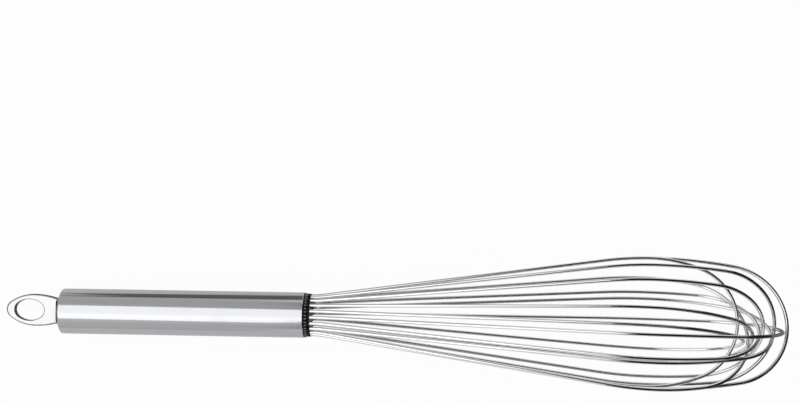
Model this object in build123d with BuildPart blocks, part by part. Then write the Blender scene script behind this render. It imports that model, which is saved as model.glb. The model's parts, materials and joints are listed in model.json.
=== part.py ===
from build123d import *
from math import asin, atan2, cos, degrees, radians, sin, sqrt, tan
import os

# French whisk lying at rest, in millimetres: +X from the hanging loop to the wire cage, +Z up from
# the table. Places along the handle are measured from the front rim of its tube.

# Handle tube, its rear end spun in to a cone and a shallow dome
tube_diameter = 20.5
tube_wall = 0.5
tube_length = 111.6
cone_depth = 1.0
cone_inset = 2.4
dome_rise = 0.3
shoulder_round = 0.8
rim_chamfer = 0.15

# Hanging loop: a stamped plate whose tang is spread behind the closed end
plate_thickness = 3.0
plate_width = 14.5
plate_reach = 25.0
plate_widest = 11.9
plate_end_radius = 4.4
plate_skew = 1.6
plate_edge = 0.9
hole_length = 13.3
hole_width = 9.6
hole_end_radius = 4.0
hole_reach = 14.3
hole_edge = 0.5
neck_width = 10.4
slot_clearance = 0.1
head_length = 2.0
head_spread = 0.8

# Wires: ten loops, so twenty ends in a ring
wire_diameter = 1.6
loop_count = 10
ring_inset = 0.95
first_slot_angle = 1.0
bend_reach = 6.6
bend_radius = 27.0
wire_clearance = 0.05

# Cage
cage_length = 214.8
cage_half_width = 29.0
belly_reach = 155.0
flank_share = 0.25
crossing_gap = 0.6
path_samples = 200

# Nylon plug in the front of the tube and the potting behind it
skirt_length = 10.0
skirt_clearance = 0.05
flange_inset = 0.2
flange_thickness = 1.9
nose_taper = 1.35
nose_length = 1.9
nose_round = 0.5
potting_length = 8.0
wire_end_depth = 6.0
cut_overrun = 1.0

# The ten loops from the outermost in: the slots of both ends, the steps by which the tip falls
# short, then half width and tip radius as shares, and two leans in degrees, the first in the
# loop's own plane towards its first end and the second out of that plane.
loop_shares = [
    (9, 19, 0.0, 1.02, 0.90, 0.6, -1.8),
    (5, 15, 0.9, 1.03, 0.95, 1.1, 0.8),
    (1, 11, 2.1, 1.01, 0.94, -0.4, 1.0),
    (7, 16, 3.0, 0.88, 0.80, 1.8, 0.0),
    (2, 12, 4.6, 1.01, 0.95, -0.3, 1.8),
    (6, 17, 5.5, 0.92, 0.95, 1.4, 0.2),
    (3, 13, 6.4, 0.85, 0.81, -0.9, 2.3),
    (8, 18, 7.3, 0.98, 0.94, 1.9, 0.5),
    (4, 14, 7.9, 0.93, 0.80, -1.5, 2.6),
    (0, 10, 9.0, 1.00, 0.90, -0.3, -0.4),
]

tube_radius = tube_diameter / 2
bore_radius = tube_radius - tube_wall
wire_radius = wire_diameter / 2
ring_radius = bore_radius - ring_inset
flange_radius = tube_radius - flange_inset
forward = Vector(1, 0, 0)


def ring_slot(slot):
    """The place in the ring where a wire's leg bends out."""
    angle = radians(first_slot_angle + slot * 180 / loop_count)
    return Vector(bend_reach, ring_radius * cos(angle), ring_radius * sin(angle))


def oval_quarter(middle, half_length, half_width, end_radius):
    """An oval's outline from its side, level at the middle, to its end: a side arc and an end arc."""
    run = half_length - end_radius
    side_radius = (run**2 + half_width**2 - end_radius**2) / (2 * (half_width - end_radius))
    turn = degrees(atan2(run, side_radius - half_width))
    CenterArc((middle, half_width - side_radius), side_radius, 90, -turn)
    CenterArc((middle + run, 0), end_radius, 90 - turn, turn - 90)


def tangent_angle(corner, centre, radius, side):
    """Direction in degrees from a corner to the tangent point on one side of a circle."""
    gap = Vector(centre) - corner
    return degrees(atan2(gap.Y, gap.X) + side * asin(radius / gap.length))


def loop_path(first_slot, last_slot, steps, width_share, tip_share, lean, cross_lean):
    """One wire's centre line: two legs, bends, slopes and flank arcs, and the oval front."""
    first = ring_slot(first_slot)
    last = ring_slot(last_slot)
    middle = (first + last) / 2
    across = (first - last).normalized()
    leaning = forward.rotate(Axis((0, 0, 0), across), -cross_lean)
    normal = leaning.cross(across)
    leaning = leaning.rotate(Axis((0, 0, 0), normal), lean)
    bow_plane = Plane(origin=middle, x_dir=leaning, z_dir=normal)

    half_width = cage_half_width * width_share
    belly = belly_reach - bend_reach
    front_length = cage_length - steps * (wire_diameter + crossing_gap) - belly_reach
    rise = half_width - (first - last).length / 2
    flank_radius = flank_share * (belly**2 + rise**2) / (2 * rise)
    upper_centre = (belly, half_width - flank_radius)
    lower_centre = (belly, flank_radius - half_width)
    upper = tangent_angle(bow_plane.to_local_coords(first), upper_centre, flank_radius, 1)
    lower = tangent_angle(bow_plane.to_local_coords(last), lower_centre, flank_radius, -1)
    with BuildLine(bow_plane) as bow:
        oval_quarter(belly, front_length, half_width, half_width * tip_share)
        mirror(about=Plane(origin=middle, z_dir=bow_plane.y_dir))
        CenterArc(upper_centre, flank_radius, upper + 90, -upper)
        CenterArc(lower_centre, flank_radius, -90, lower)
    ends = bow.wires()[0] @ 0, bow.wires()[0] @ 1
    if (ends[0] - first).length > (ends[1] - first).length:
        ends = ends[1], ends[0]

    with BuildLine() as path:
        add(bow.line)
        for corner, bow_end in ((first, ends[0]), (last, ends[1])):
            slope = (bow_end - corner).normalized()
            setback = bend_radius * tan(radians(slope.get_angle(forward) / 2))
            leg_end = corner - forward * setback
            slope_start = corner + slope * setback
            Line(corner - forward * (bend_reach + skirt_length + wire_end_depth), leg_end)
            TangentArc(leg_end, slope_start, tangent=forward)
            Line(slope_start, bow_end)
    return path.wires()[0]


# The whisk lies on the heel of its tube and on its cage, so its lean comes from the wires. The
# origin is on the table, under the middle of the whole.
rear = -tube_length
paths = [loop_path(*shares) for shares in loop_shares]
heel = Vector(rear + cone_depth, 0, -tube_radius)
lean = max(
    degrees(atan2(heel.Z + wire_radius - point.Z, point.X - heel.X))
    for path in paths
    for point in [path.position_at(step / path_samples) for step in range(path_samples + 1)]
)
turned = Location((0, 0, 0), (0, -lean, 0))
cage_box = Compound(children=[turned * path for path in paths]).bounding_box()
plate_end = (turned * Pos(rear - plate_reach, 0, 0)).position
lying = (
    Pos(
        -(plate_end.X + cage_box.max.X + wire_radius) / 2,
        -(cage_box.min.Y + cage_box.max.Y) / 2,
        -(turned * Pos(heel)).position.Z,
    )
    * turned
)
lengthwise = Plane(lying * Plane.XZ.location)
crosswise = Plane(lying * Plane.YZ.location)
handle_axis = Axis(lengthwise.origin, lengthwise.x_dir)


def wire_slots(open_outwards):
    """Sketches the ring of holes for the wires, closed or open outwards as slots."""
    slot_width = wire_diameter + 2 * wire_clearance
    with PolarLocations(ring_radius, 2 * loop_count, start_angle=first_slot_angle):
        Circle(slot_width / 2)
        if open_outwards:
            Rectangle(slot_width, slot_width, align=(Align.MIN, Align.CENTER))


# Handle tube: spun shape, hollowed from its front, with a slot for the tang
with BuildPart() as handle_tube:
    with BuildSketch(lengthwise):
        with BuildLine():
            dome_edge = (rear + dome_rise, tube_radius - cone_inset)
            TangentArc((rear, 0), dome_edge, tangent=(0, 1))
            Polyline(dome_edge, (rear + cone_depth, tube_radius), (0, tube_radius), (0, 0), (rear, 0))
        corners = make_face().vertices().sort_by(Axis.Y)[-2:]
        fillet(corners.sort_by(Axis.X)[0], shoulder_round)
    revolve(axis=handle_axis)
    offset(amount=-tube_wall, openings=handle_tube.faces().sort_by(handle_axis)[-1])
    chamfer(handle_tube.faces().sort_by(handle_axis)[-1].edges(), rim_chamfer)
    with BuildSketch(crosswise.offset(rear - cut_overrun)):
        slot_height = plate_thickness + 2 * slot_clearance
        RectangleRounded(neck_width + 2 * slot_clearance, slot_height, plate_edge + slot_clearance)
    extrude(amount=cone_depth + tube_wall + cut_overrun, mode=Mode.SUBTRACT)
handle_tube.part.label = "handle_tube"

# Hanging loop: egg-shaped plate, its tang through the slot and spread behind the wall
head_width = neck_width + 2 * head_spread
dome_radius = ((tube_radius - cone_inset) ** 2 + dome_rise**2) / (2 * dome_rise) - tube_wall
head_sag = dome_radius - sqrt(dome_radius**2 - (head_width / 2) ** 2)
head_start = rear + tube_wall + head_sag + slot_clearance
tang_end = rear - head_start - head_length / 2
rearwards = Plane(lying * Pos(rear, 0, 0) * Rotation(0, 0, 180 - plate_skew))
hole_plane = rearwards.shift_origin(rearwards.from_local_coords((hole_reach, 0)))
with BuildPart() as hanging_loop:
    with BuildSketch(rearwards):
        with BuildLine():
            oval_quarter(plate_widest, plate_reach - plate_widest, plate_width / 2, plate_end_radius)
            neck_side = (0, neck_width / 2)
            TangentArc((plate_widest, plate_width / 2), neck_side, tangent=(-1, 0))
            Polyline(neck_side, (tang_end, neck_width / 2), (tang_end, 0))
            mirror(about=Plane.XZ)
        make_face()
    extrude(amount=plate_thickness / 2, both=True)
    fillet(hanging_loop.faces().filter_by(rearwards).edges(), plate_edge)
    with BuildSketch(hole_plane):
        with BuildLine():
            oval_quarter(0, hole_length / 2, hole_width / 2, hole_end_radius)
            mirror(about=Plane.XZ)
            mirror(about=Plane.YZ)
        make_face()
    extrude(amount=plate_thickness, both=True, mode=Mode.SUBTRACT)
    for rim in [face.inner_wires()[0] for face in hanging_loop.faces().filter_by(rearwards)]:
        fillet(rim.edges(), hole_edge)
    with BuildSketch(crosswise.offset(head_start)):
        Rectangle(head_width, plate_thickness + 2 * head_spread)
    extrude(amount=head_length)
hanging_loop.part.label = "hanging_loop"

# Nylon plug: slotted skirt in the tube, flange over the rim, nose that the wires break out of
skirt_radius = bore_radius - skirt_clearance
nose_end = flange_thickness + nose_length
with BuildPart() as wire_plug:
    with BuildSketch(lengthwise):
        with BuildLine():
            Polyline(
                (-skirt_length, 0),
                (-skirt_length, skirt_radius),
                (0, skirt_radius),
                (0, flange_radius),
                (flange_thickness, flange_radius),
                (nose_end, flange_radius - nose_taper),
                (nose_end, 0),
                close=True,
            )
        make_face()
    revolve(axis=handle_axis)
    nose_edge = wire_plug.edges().filter_by(GeomType.CIRCLE).sort_by(handle_axis)[-1]
    fillet(nose_edge, nose_round)
    with BuildSketch(crosswise.offset(-skirt_length)):
        wire_slots(open_outwards=True)
    extrude(amount=skirt_length, mode=Mode.SUBTRACT)
    with BuildSketch(crosswise):
        wire_slots(open_outwards=False)
    extrude(amount=nose_end, mode=Mode.SUBTRACT)
wire_plug.part.label = "wire_plug"

# Potting: cast behind the plug around the ends of the wires
with BuildPart() as wire_potting:
    with BuildSketch(crosswise.offset(-skirt_length)):
        Circle(skirt_radius)
    extrude(amount=-potting_length)
    with BuildSketch(crosswise.offset(-skirt_length)):
        wire_slots(open_outwards=True)
    extrude(amount=-wire_end_depth - wire_clearance, mode=Mode.SUBTRACT)
wire_potting.part.label = "wire_potting"

os.makedirs("parts", exist_ok=True)
for piece in (handle_tube, hanging_loop, wire_plug, wire_potting):
    export_step(piece.part, f"parts/{piece.part.label}.step")

# Wires: one round section swept along each loop's centre line
for number, path in enumerate(paths, 1):
    laid_path = lying * path
    with BuildPart() as wire:
        with BuildSketch(Plane(origin=laid_path @ 0, z_dir=laid_path % 0)):
            Circle(wire_radius)
        sweep(path=laid_path)
    wire.part.label = f"wire_{number}"
    export_step(wire.part, f"parts/{wire.part.label}.step")
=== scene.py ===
import json
import math
import bmesh
import bpy
from mathutils import Matrix, Vector


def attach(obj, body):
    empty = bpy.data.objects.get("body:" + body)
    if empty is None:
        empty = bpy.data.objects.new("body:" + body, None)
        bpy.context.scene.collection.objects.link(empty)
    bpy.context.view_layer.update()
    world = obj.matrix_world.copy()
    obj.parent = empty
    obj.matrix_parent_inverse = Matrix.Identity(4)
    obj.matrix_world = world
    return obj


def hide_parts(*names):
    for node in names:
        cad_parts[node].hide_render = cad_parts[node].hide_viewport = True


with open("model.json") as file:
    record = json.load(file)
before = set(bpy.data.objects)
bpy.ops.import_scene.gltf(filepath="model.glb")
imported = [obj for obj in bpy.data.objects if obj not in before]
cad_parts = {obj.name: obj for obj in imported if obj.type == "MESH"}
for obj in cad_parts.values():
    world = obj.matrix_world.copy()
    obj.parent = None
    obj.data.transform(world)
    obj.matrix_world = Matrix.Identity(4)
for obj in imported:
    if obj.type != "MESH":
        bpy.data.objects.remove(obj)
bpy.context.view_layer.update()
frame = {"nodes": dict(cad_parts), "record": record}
nodes = frame["nodes"]

# Camera: a stand straight over the table, about 56 cm up, its view of 800 by 403 pixels running
# along the whisk. It leans a little along the handle and is turned a little against it.
camera_place = (-0.0144, 0.0529, 0.5637)
view_angle = 36.87
lean_angle = -1.88
turn_angle = 0.79
camera_data = bpy.data.cameras.new("camera")
camera_data.sensor_fit = "HORIZONTAL"
camera_data.angle = math.radians(view_angle)
camera_data.clip_start = 0.01
camera = bpy.data.objects.new("camera", camera_data)
camera.location = camera_place
camera_lean = Matrix.Rotation(math.radians(lean_angle), 3, "Y")
camera_turn = Matrix.Rotation(math.radians(turn_angle), 3, "Z")
camera.rotation_euler = (camera_lean @ camera_turn).to_euler()
bpy.context.scene.collection.objects.link(camera)
bpy.context.scene.camera = camera
bpy.context.scene.view_settings.view_transform = "Standard"


# Table: a board in matt white laminate. The camera sees it lit up to white but for the whisk's
# faint shadow. For the steel's reflections it also glows white, weakly under the handle and
# strongly under the cage: a painted reflection. Dark cloths cover its far side and right end,
# where only the steel sees them: a fixed dim glow there, a painted dark reflection.
def set_inputs(node, values):
    """Sets a node's inputs by name or number, or links them where the value is an output."""
    for name, value in values.items():
        if isinstance(value, bpy.types.NodeSocket):
            node.id_data.links.new(value, node.inputs[name])
        else:
            node.inputs[name].default_value = value


def add_node(tree, kind, values=(), **settings):
    """Adds a node with its settings and inputs."""
    node = tree.nodes.new("ShaderNode" + kind)
    for name, value in settings.items():
        setattr(node, name, value)
    set_inputs(node, dict(values))
    return node


def add_math(tree, operation, *values, clamp=False):
    """Adds a Math node and gives its output."""
    node = add_node(tree, "Math", enumerate(values), operation=operation, use_clamp=clamp)
    return node.outputs[0]


def new_material(name):
    """Makes an empty material and gives it with its tree and its output node."""
    material = bpy.data.materials.new(name)
    material.use_nodes = True
    material.node_tree.nodes.clear()
    return material, material.node_tree, add_node(material.node_tree, "OutputMaterial")


def between(tree, value, low, high, softness):
    """A mask that is 1 where the value lies between two limits, with soft ends."""
    # Inputs 1 to 4 of Map Range are the low and high it reads, then the low and high it gives.
    rise = {"Value": value, 1: low - softness, 2: low + softness}
    fall = {"Value": value, 1: high - softness, 2: high + softness, 3: 1.0, 4: 0.0}
    first = add_node(tree, "MapRange", rise, interpolation_type="SMOOTHSTEP")
    last = add_node(tree, "MapRange", fall, interpolation_type="SMOOTHSTEP")
    return add_math(tree, "MULTIPLY", first.outputs[0], last.outputs[0])


table_reach = 1.2
table_far_edge = 0.17
white_to_camera = 0.96
white_to_steel = 0.15
white_under_cage = 0.7
cloth_radiance = 0.16
far_cloth_edge = 0.047
far_cloth_ends = (-0.165, 0.03)
right_cloth_edge = 0.16
table_corners = [
    (-table_reach, -table_reach, 0), (table_reach, -table_reach, 0),
    (table_reach, table_far_edge, 0), (-table_reach, table_far_edge, 0),
]
table_mesh = bpy.data.meshes.new("table")
table_mesh.from_pydata(table_corners, [], [(0, 1, 2, 3)])
table = bpy.data.objects.new("table", table_mesh)
bpy.context.scene.collection.objects.link(table)
laminate, tree, output = new_material("white laminate")
rays = add_node(tree, "LightPath")
to_camera = rays.outputs["Is Camera Ray"]
to_steel = rays.outputs["Is Glossy Ray"]
place = add_node(tree, "TexCoord").outputs["Object"]
along, across, _ = add_node(tree, "SeparateXYZ", {0: place}).outputs
# Painted reflection: glossy rays see the board glow white, 0.15 under the handle rising to 0.7
# under the cage.
gleam = {"Value": along, 1: -0.03, 2: 0.02, 3: white_to_steel, 4: white_under_cage}
gleam_share = add_node(tree, "MapRange", gleam).outputs[0]
camera_share = add_math(tree, "MULTIPLY", to_camera, white_to_camera)
steel_share = add_math(tree, "MULTIPLY", to_steel, gleam_share)
white_share = add_math(tree, "MAXIMUM", camera_share, steel_share)
matt = add_node(tree, "BsdfDiffuse", {"Color": (0.7, 0.7, 0.7, 1)})
white = add_node(tree, "Emission", {"Strength": 1.0})
board = add_node(tree, "MixShader", {0: white_share, 1: matt.outputs[0], 2: white.outputs[0]})
far_side = between(tree, across, far_cloth_edge, table_reach, 0.008)
far_part = between(tree, along, *far_cloth_ends, 0.02)
far_cloth = add_math(tree, "MULTIPLY", far_side, far_part)
right_cloth = between(tree, along, right_cloth_edge, 2 * table_reach, 0.01)
covered = add_math(tree, "MAXIMUM", far_cloth, right_cloth)
cloth_share = add_math(tree, "MULTIPLY", covered, to_steel)
cloth = add_node(tree, "Emission", {"Strength": cloth_radiance})
laid = add_node(tree, "MixShader", {0: cloth_share, 1: board.outputs[0], 2: cloth.outputs[0]})
set_inputs(output, {"Surface": laid.outputs[0]})
table_mesh.materials.append(laminate)


# Studio light: a large softbox over the handle, turned a little, which draws the white band along
# the tube, and a small one beyond the tip, which lights the ends of the wires.
def hang_softbox(name, place, width, length, turn, tip, radiance):
    """Hangs a rectangular lamp that faces down, turned about the upright and tipped along X."""
    data = bpy.data.lights.new(name, "AREA")
    data.shape = "RECTANGLE"
    data.size = width
    data.size_y = length
    data.energy = radiance * math.pi * width * length
    lamp = bpy.data.objects.new(name, data)
    lamp.location = place
    lamp.rotation_euler = (0, math.radians(tip), math.radians(turn))
    bpy.context.scene.collection.objects.link(lamp)


hang_softbox(
    "softbox", (-0.465, 0.025, 0.7), width=0.79, length=0.91, turn=-17, tip=0, radiance=0.99
)
hang_softbox(
    "tip softbox", (0.68, -0.11, 0.85), width=0.12, length=0.12, turn=0, tip=35, radiance=1.0
)

# Studio room: grey walls round the handle, a dark end past the cage and a dark curtain on the far
# side, which the steel reflects. All else gets even light from it, and the camera sees white.
walls_before = (0.6, 0.8)
walls_behind = 0.22
pale_wall = 0.92
curtain_shade = 0.12
dark_wall = 0.015
even_light = 0.72
dark_end_start = -0.13
right_wall_start = 0.5
near_wall_end = -0.72
ceiling_start = 0.33
beyond = 2.0
world = bpy.data.worlds.new("studio")
world.use_nodes = True
bpy.context.scene.world = world
tree = world.node_tree
tree.nodes.clear()
direction = add_node(tree, "TexCoord").outputs["Generated"]
to_right, to_far, to_top = add_node(tree, "SeparateXYZ", {0: direction}).outputs
dark_end = between(tree, to_right, dark_end_start, beyond, 0.05)
above = between(tree, to_top, ceiling_start, beyond, 0.05)
ceiling = add_math(tree, "MULTIPLY", dark_end, above)
right_wall = between(tree, to_right, right_wall_start, beyond, 0.05)
near_x = between(tree, to_right, -beyond, near_wall_end, 0.06)
near_y = between(tree, to_far, -0.55, 0.55, 0.05)
near_wall = add_math(tree, "MULTIPLY", near_x, near_y)
dark = add_math(tree, "MAXIMUM", add_math(tree, "MAXIMUM", ceiling, right_wall), near_wall)
side_x = between(tree, to_right, dark_end_start, right_wall_start, 0.05)
side_z = between(tree, to_top, -beyond, ceiling_start, 0.05)
pale = add_math(tree, "MULTIPLY", side_x, side_z)
curtain_x = between(tree, to_right, -0.3, -0.05, 0.04)
curtain_y = between(tree, to_far, 0.0, beyond, 0.02)
curtain_z = between(tree, to_top, -0.3, 0.03, 0.04)
curtain = add_math(tree, "MULTIPLY", curtain_z, add_math(tree, "MULTIPLY", curtain_x, curtain_y))
low, high = walls_before
front = add_node(tree, "MapRange", {"Value": to_far, 1: -1.0, 2: -0.5, 3: low, 4: high})
behind = add_node(tree, "MapRange", {"Value": to_far, 1: -0.3, 2: 0.1, 3: 0.0, 4: walls_behind})
shade = add_math(tree, "SUBTRACT", front.outputs[0], behind.outputs[0])
for mask, radiance in ((pale, pale_wall), (curtain, curtain_shade), (dark, dark_wall)):
    shade = add_node(tree, "MapRange", {"Value": mask, 3: shade, 4: radiance}).outputs[0]
rays = add_node(tree, "LightPath").outputs
for ray, radiance in (("Is Diffuse Ray", even_light), ("Is Camera Ray", 1.0)):
    shade = add_node(tree, "MapRange", {"Value": rays[ray], 3: shade, 4: radiance}).outputs[0]
background = add_node(tree, "Background", {"Color": shade, "Strength": 1.0})
add_node(tree, "OutputWorld", {"Surface": background.outputs[0]})

# Handle tube: drawn stainless steel, 20.5 mm across with a 0.5 mm wall, its rear end spun shut.
# It is polished along its length, which leaves fine lines, a soft lustre and a few hand marks.
grip = frame["record"]["mounts"][0]
grip_middle = Vector(grip["pos_m"])
tube_reach = 0.055
handle_lean = math.atan2(-grip["axis"][2], -grip["axis"][0])
handle_frame = Matrix.Translation(grip_middle) @ Matrix.Rotation(-handle_lean, 4, "Y")
handle_frame = handle_frame @ Matrix.Translation((tube_reach, 0, 0))


def new_group(name, inputs, outputs):
    """Makes a shader node group with its sockets, and gives its tree, input and output nodes."""
    tree = bpy.data.node_groups.new(name, "ShaderNodeTree")
    for label, kind, value in inputs:
        socket = tree.interface.new_socket(label, in_out="INPUT", socket_type="NodeSocket" + kind)
        if value is not None:
            socket.default_value = value
    for label, kind in outputs:
        tree.interface.new_socket(label, in_out="OUTPUT", socket_type="NodeSocket" + kind)
    return tree, tree.nodes.new("NodeGroupInput").outputs, tree.nodes.new("NodeGroupOutput")


def use_group(tree, group, values):
    """Places a node group in a material and gives its outputs."""
    node = add_node(tree, "Group", node_tree=group)
    set_inputs(node, values)
    return node.outputs


def along_handle(tree):
    """Coordinates in metres along the handle, across it and up, from the tube's front rim."""
    place = add_node(tree, "TexCoord").outputs["Object"]
    mapping = add_node(tree, "Mapping", {"Vector": place}, vector_type="TEXTURE")
    mapping.inputs["Location"].default_value = handle_frame.translation
    mapping.inputs["Rotation"].default_value = handle_frame.to_euler()
    return mapping.outputs[0]


# The lines that polishing or drawing leaves: noise drawn out along the piece.
polish_lines, given, result = new_group(
    "polish lines",
    [("Place", "Vector", None), ("Spacing", "Float", 0.0002), ("Length", "Float", 0.03)],
    [("Lines", "Float"), ("Bands", "Float")],
)
across_scale = add_math(polish_lines, "DIVIDE", 1.0, given["Spacing"])
along_scale = add_math(polish_lines, "DIVIDE", 1.0, given["Length"])
scales = add_node(polish_lines, "CombineXYZ", {0: along_scale, 1: across_scale, 2: across_scale})
drawn_out = add_node(
    polish_lines, "VectorMath", {0: given["Place"], 1: scales.outputs[0]}, operation="MULTIPLY"
)
stretched = drawn_out.outputs[0]
fine = add_node(polish_lines, "TexNoise", {"Vector": stretched, "Scale": 1.0, "Detail": 3.0})
broad = add_node(polish_lines, "TexNoise", {"Vector": stretched, "Scale": 0.12, "Detail": 1.0})
set_inputs(result, {"Lines": fine.outputs[0], "Bands": broad.outputs[0]})

# What hands and drawers leave on a utensil: soft smudges and short, thin scratches.
hand_marks, given, result = new_group(
    "hand marks",
    [("Place", "Vector", None), ("Smudge Size", "Float", 0.012), ("Scratch Size", "Float", 0.004)],
    [("Smudges", "Float"), ("Scratches", "Float")],
)
place = given["Place"]
smudge_scale = add_math(hand_marks, "DIVIDE", 1.0, given["Smudge Size"])
scratch_scale = add_math(hand_marks, "DIVIDE", 1.0, given["Scratch Size"])
smudge = add_node(
    hand_marks, "TexNoise", {"Vector": place, "Scale": smudge_scale, "Detail": 4.0}
)
smudge_mask = add_node(hand_marks, "MapRange", {"Value": smudge.outputs[0], 1: 0.5, 2: 0.72})
bend = add_node(
    hand_marks, "TexNoise", {"Vector": place, "Scale": scratch_scale, "Detail": 1.0}
)
bent_place = add_node(
    hand_marks, "VectorMath", {0: bend.outputs[1], 1: (0.0015, 0.0015, 0.0015), 2: place},
    operation="MULTIPLY_ADD",
)
cells = add_node(
    hand_marks, "TexVoronoi", {"Vector": bent_place.outputs[0], "Scale": scratch_scale},
    feature="DISTANCE_TO_EDGE",
)
cell_edges = {"Value": cells.outputs["Distance"], 1: 0.0, 2: 0.02, 3: 1.0, 4: 0.0}
line_mask = add_node(hand_marks, "MapRange", cell_edges)
broken = add_node(hand_marks, "MapRange", {"Value": bend.outputs[0], 1: 0.52, 2: 0.62})
scratch_mask = add_math(hand_marks, "MULTIPLY", line_mask.outputs[0], broken.outputs[0])
set_inputs(result, {"Smudges": smudge_mask.outputs[0], "Scratches": scratch_mask})

# Edges that rubbing has rounded and brightened, found where a rounded normal leaves the flat one.
edge_wear, given, result = new_group(
    "edge wear",
    [("Place", "Vector", None), ("Width", "Float", 0.0003)],
    [("Wear", "Float")],
)
rounded = add_node(edge_wear, "Bevel", {"Radius": given["Width"]}, samples=6)
plain = add_node(edge_wear, "NewGeometry")
likeness = add_node(
    edge_wear, "VectorMath", {0: rounded.outputs[0], 1: plain.outputs["Normal"]},
    operation="DOT_PRODUCT",
)
turned = {"Value": likeness.outputs["Value"], 1: 0.995, 2: 0.88, 3: 0.0, 4: 1.0}
edge = add_node(edge_wear, "MapRange", turned)
patches = add_node(
    edge_wear, "TexNoise", {"Vector": given["Place"], "Scale": 700.0, "Detail": 2.0}
)
patchy = add_node(
    edge_wear, "MapRange", {"Value": patches.outputs[0], 1: 0.35, 2: 0.6, 3: 0.4, 4: 1.0}
)
wear = add_math(edge_wear, "MULTIPLY", edge.outputs[0], patchy.outputs[0])
set_inputs(result, {"Wear": wear})

handle_steel, tree, output = new_material("handle steel")
place = along_handle(tree)
lines = use_group(tree, polish_lines, {"Place": place, "Spacing": 0.00022, "Length": 0.05})
marks = use_group(tree, hand_marks, {"Place": place, "Smudge Size": 0.014, "Scratch Size": 0.006})
worn = use_group(tree, edge_wear, {"Place": place, "Width": 0.0003})
tint = add_node(
    tree, "Mix",
    {"Factor": lines["Bands"], "A": (0.515, 0.52, 0.54, 1), "B": (0.58, 0.584, 0.6, 1)},
    data_type="RGBA",
)
bright = add_node(
    tree, "Mix", {"Factor": worn["Wear"], "A": tint.outputs["Result"], "B": (0.72, 0.72, 0.72, 1)},
    data_type="RGBA",
)
rough = add_node(tree, "MapRange", {"Value": lines["Lines"], 3: 0.06, 4: 0.16}).outputs[0]
rough = add_math(tree, "MULTIPLY_ADD", marks["Smudges"], 0.07, rough)
rough = add_math(tree, "MULTIPLY_ADD", marks["Scratches"], 0.12, rough)
relief = add_math(tree, "MULTIPLY_ADD", marks["Scratches"], -0.6, lines["Lines"])
bump = add_node(tree, "Bump", {"Strength": 0.25, "Distance": 0.000004, "Height": relief})
shader = add_node(tree, "BsdfPrincipled", {
    "Base Color": bright.outputs["Result"], "Metallic": 1.0, "Roughness": rough,
    "Normal": bump.outputs[0],
})
set_inputs(output, {"Surface": shader.outputs[0]})
nodes["handle_tube"].material_slots[0].material = handle_steel

# Hanging loop: 3 mm stainless plate, stamped and tumbled, so its faces are satin and its rounded
# edges bright. Its tang is spread inside the tube's closed end.
loop_steel, tree, output = new_material("loop steel")
place = along_handle(tree)
lines = use_group(tree, polish_lines, {"Place": place, "Spacing": 0.00035, "Length": 0.004})
marks = use_group(tree, hand_marks, {"Place": place, "Smudge Size": 0.006, "Scratch Size": 0.003})
worn = use_group(tree, edge_wear, {"Place": place, "Width": 0.0004})
peened = add_node(tree, "TexNoise", {"Vector": place, "Scale": 2200.0, "Detail": 2.0})
tint = add_node(
    tree, "Mix",
    {"Factor": lines["Bands"], "A": (0.56, 0.56, 0.565, 1), "B": (0.63, 0.63, 0.63, 1)},
    data_type="RGBA",
)
bright = add_node(
    tree, "Mix", {"Factor": worn["Wear"], "A": tint.outputs["Result"], "B": (0.74, 0.74, 0.74, 1)},
    data_type="RGBA",
)
# Painted shade: the loop's upright flanks, where the normal lies near level, are coloured near
# black (0.07) and made rougher. This painted dark reflection draws the loop's dark outline and is
# not the steel's own colour.
facing = add_node(tree, "NewGeometry").outputs["Normal"]
level = add_math(tree, "ABSOLUTE", add_node(tree, "SeparateXYZ", {0: facing}).outputs["Z"])
painted_flank_shade = between(tree, level, -1.0, 0.72, 0.1)
flank_shaded_tint = add_node(
    tree, "Mix",
    {"Factor": painted_flank_shade, "A": bright.outputs["Result"], "B": (0.07, 0.07, 0.075, 1)},
    data_type="RGBA",
)
rough = add_node(tree, "MapRange", {"Value": peened.outputs[0], 3: 0.16, 4: 0.3}).outputs[0]
rough = add_math(tree, "MULTIPLY_ADD", painted_flank_shade, 0.15, rough)
rough = add_math(tree, "MULTIPLY_ADD", marks["Smudges"], 0.06, rough)
relief = add_math(tree, "MULTIPLY_ADD", marks["Scratches"], -0.5, peened.outputs[0])
bump = add_node(tree, "Bump", {"Strength": 0.3, "Distance": 0.00002, "Height": relief})
shader = add_node(tree, "BsdfPrincipled", {
    "Base Color": flank_shaded_tint.outputs["Result"], "Metallic": 1.0, "Roughness": rough,
    "Normal": bump.outputs[0],
})
set_inputs(output, {"Surface": shader.outputs[0]})
nodes["hanging_loop"].material_slots[0].material = loop_steel

# Collar: a black collar round the loop where it leaves the tube's closed end, which draws a dark
# line along that seam.
collar_segments = 48
collar_rings = [(-113.8, 11.5, 3.1), (-113.6, 11.8, 3.5), (-112.6, 11.7, 3.7), (-111.5, 11.0, 3.8)]


def add_ring(mesh, reach, places):
    """Adds a ring of points across the handle, in millimetres from its axis, and gives them."""
    return [mesh.verts.new((reach, across, up)) for across, up in places]


def join_rings(mesh, rings):
    """Joins each ring of points to the next by faces."""
    for first, second in zip(rings, rings[1:]):
        for step, corner in enumerate(first):
            last = (step + 1) % len(first)
            mesh.faces.new((corner, first[last], second[last], second[step]))


def make_piece(mesh, name, material):
    """Sets a mesh drawn in the handle's millimetres in its place, as a piece of the whisk."""
    bmesh.ops.recalc_face_normals(mesh, faces=mesh.faces)
    bmesh.ops.transform(mesh, matrix=handle_frame @ Matrix.Scale(0.001, 4), verts=mesh.verts)
    piece_mesh = bpy.data.meshes.new(name)
    mesh.to_mesh(piece_mesh)
    mesh.free()
    piece_mesh.shade_smooth()
    piece_mesh.set_sharp_from_angle(angle=math.radians(40))
    piece_mesh.materials.append(material)
    piece = bpy.data.objects.new(name, piece_mesh)
    bpy.context.scene.collection.objects.link(piece)
    return piece


def softened(share, power):
    """A sine or cosine raised to a power with its sign kept, which squares a circle."""
    return math.copysign(abs(share) ** power, share)


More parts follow.
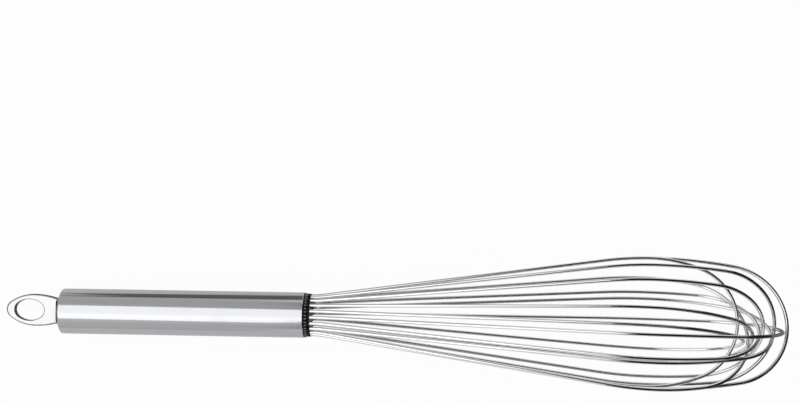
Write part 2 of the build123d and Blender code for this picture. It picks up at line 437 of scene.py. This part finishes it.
collar_mesh = bmesh.new()
rings = []
for reach, width, height in collar_rings:
    places = []
    for step in range(collar_segments):
        turn = 2 * math.pi * (step + 0.5) / collar_segments
        across = softened(math.cos(turn), 0.4) * width / 2
        up = softened(math.sin(turn), 0.6) * height / 2
        places.append((across, up))
    rings.append(add_ring(collar_mesh, reach, places))
join_rings(collar_mesh, rings)
collar_mesh.faces.new(rings[0])
collar_mesh.faces.new(rings[-1])

black_collar, tree, output = new_material("black collar")
place = along_handle(tree)
skin = add_node(tree, "TexNoise", {"Vector": place, "Scale": 1500.0, "Detail": 3.0})
tint = add_node(
    tree, "Mix",
    {"Factor": skin.outputs[0], "A": (0.006, 0.006, 0.007, 1), "B": (0.02, 0.02, 0.022, 1)},
    data_type="RGBA",
)
rough = add_node(tree, "MapRange", {"Value": skin.outputs[0], 3: 0.4, 4: 0.65}).outputs[0]
bump = add_node(tree, "Bump", {"Strength": 0.4, "Distance": 0.00003, "Height": skin.outputs[0]})
shader = add_node(tree, "BsdfPrincipled", {
    "Base Color": tint.outputs["Result"], "Roughness": rough, "Normal": bump.outputs[0],
    "Specular IOR Level": 0.3,
})
set_inputs(output, {"Surface": shader.outputs[0]})
collar_piece = make_piece(collar_mesh, "tang_collar", black_collar)
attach(collar_piece, "root")

# Wires: ten loops of drawn stainless spring wire, 1.6 mm thick, bent cold and electropolished.
# The drawing leaves faint lines along them, the polish a bright and slightly uneven skin.
wire_steel, tree, output = new_material("wire steel")
place = add_node(tree, "TexCoord").outputs["Object"]
lines = use_group(tree, polish_lines, {"Place": place, "Spacing": 0.00012, "Length": 0.012})
marks = use_group(tree, hand_marks, {"Place": place, "Smudge Size": 0.01, "Scratch Size": 0.005})
tint = add_node(
    tree, "Mix",
    {"Factor": lines["Bands"], "A": (0.78, 0.785, 0.795, 1), "B": (0.85, 0.852, 0.86, 1)},
    data_type="RGBA",
)
rough = add_node(tree, "MapRange", {"Value": lines["Lines"], 3: 0.04, 4: 0.12}).outputs[0]
rough = add_math(tree, "MULTIPLY_ADD", marks["Smudges"], 0.06, rough)
relief = add_math(tree, "MULTIPLY_ADD", marks["Scratches"], -0.4, lines["Lines"])
bump = add_node(tree, "Bump", {"Strength": 0.2, "Distance": 0.000003, "Height": relief})
shader = add_node(tree, "BsdfPrincipled", {
    "Base Color": tint.outputs["Result"], "Metallic": 1.0, "Roughness": rough,
    "Normal": bump.outputs[0],
})
set_inputs(output, {"Surface": shader.outputs[0]})
for number in range(1, 11):
    nodes[f"wire_{number}"].material_slots[0].material = wire_steel

# Plug: black nylon, moulded in one piece and pressed into the front of the tube. Its flange is
# scalloped all round, and a short lip creeps up each wire where it leaves the nose.
plug_segments = 240
scallop_count = 40
scallop_depth = 0.14
lip_segments = 16
wire_count = 20
wire_ring = 8.8
first_wire = 1.0
plug_profile = [
    (-10.0, 9.65, 0), (0.02, 9.65, 0), (0.02, 9.95, 0), (0.15, 10.1, 0),
    (0.55, 10.1, 0), (0.75, 10.05, 0.5), (1.0, 9.95, 1), (1.3, 9.75, 1), (1.6, 9.5, 0.6),
    (1.9, 9.25, 0.2), (2.2, 9.0, 0), (2.5, 8.75, 0), (2.65, 8.5, 0), (2.7, 8.2, 0),
]
lip_profile = [(1.0, 1.0), (2.3, 1.02), (2.8, 0.97), (3.1, 0.9), (3.2, 0.8), (1.0, 0.8)]
plug = bmesh.new()


def circle(centre, radii):
    """Places round a centre at the given radii, one for each step of the turn."""
    steps = [2 * math.pi * step / len(radii) for step in range(len(radii))]
    return [
        (centre[0] + radius * math.cos(turn), centre[1] + radius * math.sin(turn))
        for turn, radius in zip(steps, radii)
    ]


plug_steps = [2 * math.pi * step / plug_segments for step in range(plug_segments)]
rings = []
for reach, radius, depth in plug_profile:
    dips = [scallop_depth * depth * (math.cos(scallop_count * turn) + 1) / 2 for turn in plug_steps]
    rings.append(add_ring(plug, reach, circle((0, 0), [radius - dip for dip in dips])))
join_rings(plug, rings)
plug.faces.new(rings[0])
plug.faces.new(rings[-1])
for number in range(wire_count):
    turn = math.radians(first_wire + number * 360 / wire_count)
    centre = (wire_ring * math.cos(turn), wire_ring * math.sin(turn))
    rings = [
        add_ring(plug, reach, circle(centre, [radius] * lip_segments))
        for reach, radius in lip_profile
    ]
    join_rings(plug, rings + rings[:1])

plug_nylon, tree, output = new_material("plug nylon")
place = along_handle(tree)
parts = add_node(tree, "SeparateXYZ", {0: place}).outputs
# Painted highlight: the crests of the flange's scallops are coloured light grey (0.5). These are
# painted glints, not rubbed wear.
around = add_math(tree, "ARCTAN2", parts["Z"], parts["Y"])
waves = add_math(tree, "COSINE", add_math(tree, "MULTIPLY", around, float(scallop_count)))
crest_tops = add_math(tree, "POWER", add_math(tree, "MULTIPLY", waves, -1.0, clamp=True), 5.0)
crest_reach = between(tree, parts["X"], 0.0008, 0.0015, 0.0002)
painted_glints = add_math(tree, "MULTIPLY", crest_tops, crest_reach)
grain = add_node(tree, "TexNoise", {"Vector": place, "Scale": 5000.0, "Detail": 2.0})
worn = use_group(tree, edge_wear, {"Place": place, "Width": 0.0002})
marks = use_group(tree, hand_marks, {"Place": place, "Smudge Size": 0.003, "Scratch Size": 0.002})
tint = add_node(
    tree, "Mix",
    {"Factor": worn["Wear"], "A": (0.004, 0.004, 0.005, 1), "B": (0.02, 0.02, 0.022, 1)},
    data_type="RGBA",
)
glint_tinted = add_node(
    tree, "Mix", {"Factor": painted_glints, "A": tint.outputs["Result"], "B": (0.5, 0.5, 0.51, 1)},
    data_type="RGBA",
)
rough = add_node(tree, "MapRange", {"Value": grain.outputs[0], 3: 0.25, 4: 0.45}).outputs[0]
rough = add_math(tree, "MULTIPLY_ADD", marks["Smudges"], 0.1, rough)
bump = add_node(tree, "Bump", {"Strength": 0.3, "Distance": 0.00001, "Height": grain.outputs[0]})
shader = add_node(tree, "BsdfPrincipled", {
    "Base Color": glint_tinted.outputs["Result"], "Roughness": rough, "Normal": bump.outputs[0],
    "Specular IOR Level": 0.25,
})
set_inputs(output, {"Surface": shader.outputs[0]})
plug_piece = make_piece(plug, "plug", plug_nylon)
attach(plug_piece, "root")
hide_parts("wire_plug")

# Potting: epoxy cast behind the plug round the ends of the wires, dark amber with small bubbles.
# It is out of sight inside the tube.
potting_epoxy, tree, output = new_material("potting epoxy")
place = along_handle(tree)
bubbles = add_node(tree, "TexVoronoi", {"Vector": place, "Scale": 900.0})
clouds = add_node(tree, "TexNoise", {"Vector": place, "Scale": 250.0, "Detail": 3.0})
tint = add_node(
    tree, "Mix",
    {"Factor": clouds.outputs[0], "A": (0.05, 0.035, 0.02, 1), "B": (0.11, 0.08, 0.05, 1)},
    data_type="RGBA",
)
rough = add_node(tree, "MapRange", {"Value": clouds.outputs[0], 3: 0.4, 4: 0.6}).outputs[0]
pits = bubbles.outputs["Distance"]
bump = add_node(tree, "Bump", {"Strength": 0.4, "Distance": 0.0001, "Height": pits})
shader = add_node(tree, "BsdfPrincipled", {
    "Base Color": tint.outputs["Result"], "Roughness": rough, "Normal": bump.outputs[0],
})
set_inputs(output, {"Surface": shader.outputs[0]})
nodes["wire_potting"].material_slots[0].material = potting_epoxy
